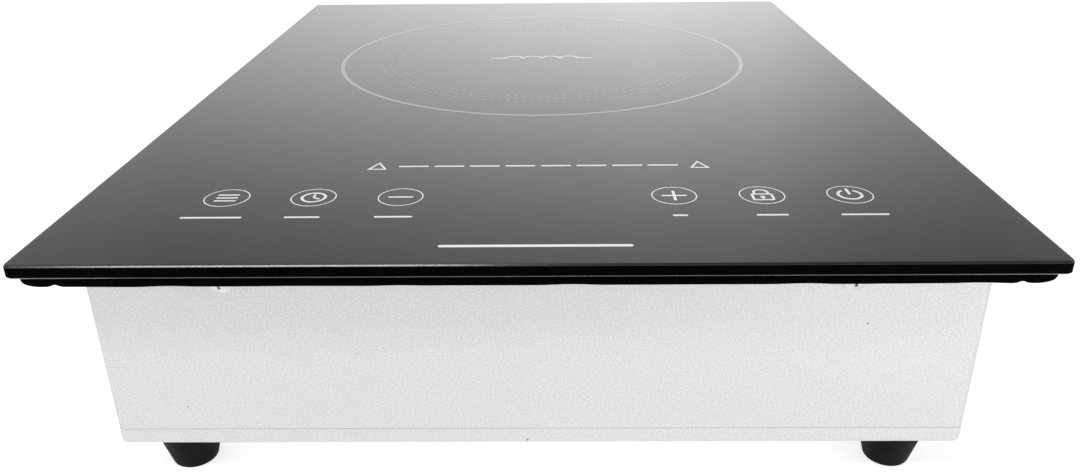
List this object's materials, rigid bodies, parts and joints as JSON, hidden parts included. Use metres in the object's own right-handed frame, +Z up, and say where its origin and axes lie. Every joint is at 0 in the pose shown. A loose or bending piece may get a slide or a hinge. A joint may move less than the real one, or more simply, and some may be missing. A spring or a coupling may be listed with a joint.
{
  "type": "induction cooktop",
  "caption": "Drop-in induction cooktop: black glass top with printed zone and touch keys over a shallow galvanised steel housing on rubber feet.",
  "frame": {"origin": "centre of the glass in plan, at the height of the undersides of the feet", "axes": "+X to the right, +Y to the rear, +Z up; the keys face -Y"},
  "size_m": [0.29, 0.375, 0.083],
  "materials": {
    "black_glass": "polished black glass-ceramic with bevelled edges",
    "white_enamel": "fired satin enamel print",
    "zone_ink": "thin fired grey print",
    "symbol_ink": "thin fired pale grey print",
    "foam": "matt closed-cell foam strip",
    "silicone": "cured sealant bead",
    "galvanised_steel": "galvanised sheet with fine spangle",
    "zinc_screw": "bright zinc plate",
    "foot_rubber": "matt moulded rubber",
    "black_nylon": "moulded black nylon",
    "pale_nylon": "moulded natural nylon",
    "lead_jacket": "extruded wire insulation",
    "copper_winding": "enamelled copper",
    "circuit_board": "solder-masked laminate",
    "heat_sink_aluminium": "mill finish",
    "component_black": "moulded epoxy",
    "component_yellow": "boxed film capacitor",
    "component_blue": "boxed film capacitor",
    "ferrite": "sintered ferrite",
    "core_steel": "varnished laminations",
    "plated_clip": "nickel plate",
    "spring_steel": "drawn spring wire",
    "display_case": "moulded display case",
    "ribbon": "flat cable",
    "mica": "pressed mica"
  },
  "bodies": {
    "housing": {"glass_top": "black_glass", "print_zone": "zone_ink", "print_zone_symbol": "symbol_ink", "print_keys": "white_enamel", "print_dashes": "white_enamel", "gasket_front": "foam", "gasket_rear": "foam", "gasket_left": "foam", "gasket_right": "foam", "glass_adhesive": "silicone", "glass_frame": "galvanised_steel", "front_panel": "galvanised_steel", "rear_panel": "galvanised_steel", "left_panel": "galvanised_steel", "right_panel": "galvanised_steel", "base_tray": "galvanised_steel", "housing_screws": "zinc_screw", "foot_front_left": "foot_rubber", "foot_front_right": "foot_rubber", "foot_rear_left": "foot_rubber", "foot_rear_right": "foot_rubber", "foot_screws": "zinc_screw", "cord_bushing": "black_nylon", "terminal_block": "pale_nylon", "supply_leads": "lead_jacket", "fan_frame": "black_nylon", "fan_stator": "copper_winding", "floor_screws": "zinc_screw", "fan_lead": "lead_jacket", "power_board": "circuit_board", "board_standoffs": "zinc_screw", "board_screws": "zinc_screw", "heat_sink": "heat_sink_aluminium", "igbt": "component_black", "bridge_rectifier": "component_black", "bus_capacitor": "component_yellow", "resonant_capacitor": "component_blue", "filter_capacitor": "component_yellow", "choke_core": "ferrite", "choke_winding": "copper_winding", "aux_transformer": "core_steel", "fuse": "plated_clip", "control_board": "circuit_board", "control_holder": "black_nylon", "touch_springs": "spring_steel", "led_display": "display_case", "buzzer": "component_black", "ribbon_cable": "ribbon", "coil_posts": "zinc_screw", "coil_springs": "spring_steel", "post_screws": "zinc_screw", "coil_leads": "copper_winding"},
    "fan_rotor": {"fan_rotor": "black_nylon"},
    "coil_unit": {"coil_carrier": "heat_sink_aluminium", "ferrite_bars": "ferrite", "coil_former": "black_nylon", "coil_winding": "copper_winding", "mica_sheet": "mica", "sensor_holder": "pale_nylon", "glass_sensor": "plated_clip"}
  },
  "joints": [
    {"name": "fan_spin", "type": "hinge", "parent": "housing", "child": "fan_rotor", "pos_m": [-0.07, 0.104, 0.0273], "axis": [0, 0, 1], "continuous": true},
    {"name": "coil_float", "type": "slide", "parent": "housing", "child": "coil_unit", "axis": [0, 0, 1], "range_m": [-0.003, 0], "stiffness_N_per_m": 4000, "springref_m": 0.005, "deforming": ["coil_springs", "coil_leads"]}
  ]
}
